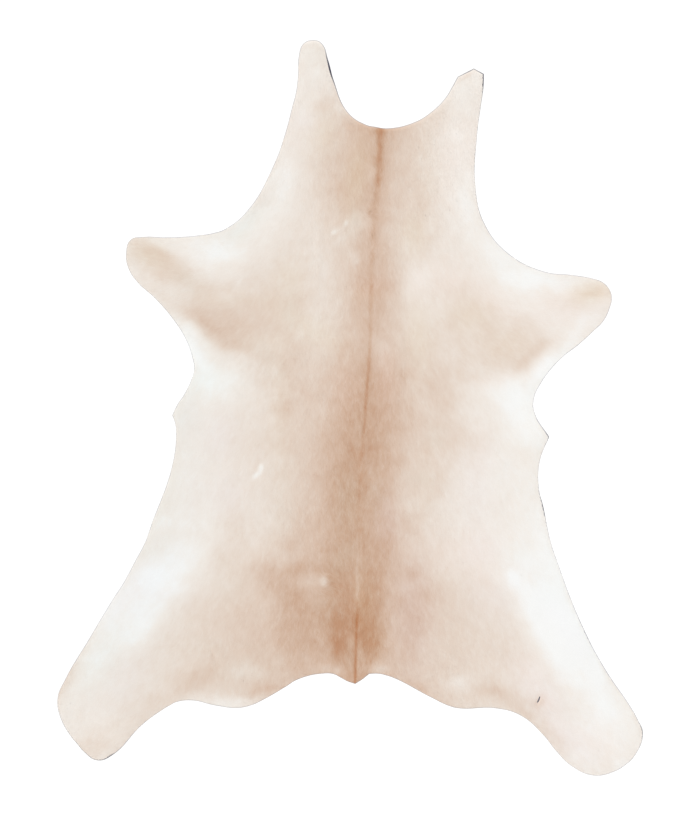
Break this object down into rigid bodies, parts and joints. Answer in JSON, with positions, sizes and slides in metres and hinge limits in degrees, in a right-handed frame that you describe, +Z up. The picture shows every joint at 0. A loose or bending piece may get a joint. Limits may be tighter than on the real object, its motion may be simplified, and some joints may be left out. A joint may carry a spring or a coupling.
{
  "type": "hair-on cowhide rug",
  "caption": "Hair-on cowhide laid flat as a floor rug, in beige and white with a brown line down the back, trimmed at the neck, legs and tail.",
  "frame": {"origin": "on the floor, under the middle of the hide's length and width", "axes": "+Y along the back towards the neck, +X towards the right-hand side seen from above, +Z up out of the hair"},
  "size_m": [1.758, 2.208, 0.014],
  "materials": {
    "hair_side": "short hair lying flat with a soft sheen, beige to brown along the back and white on the flanks",
    "skin_side": "napped suede, matt"
  },
  "bodies": {
    "root": {"hide": "hair_side"}
  },
  "joints": []
}
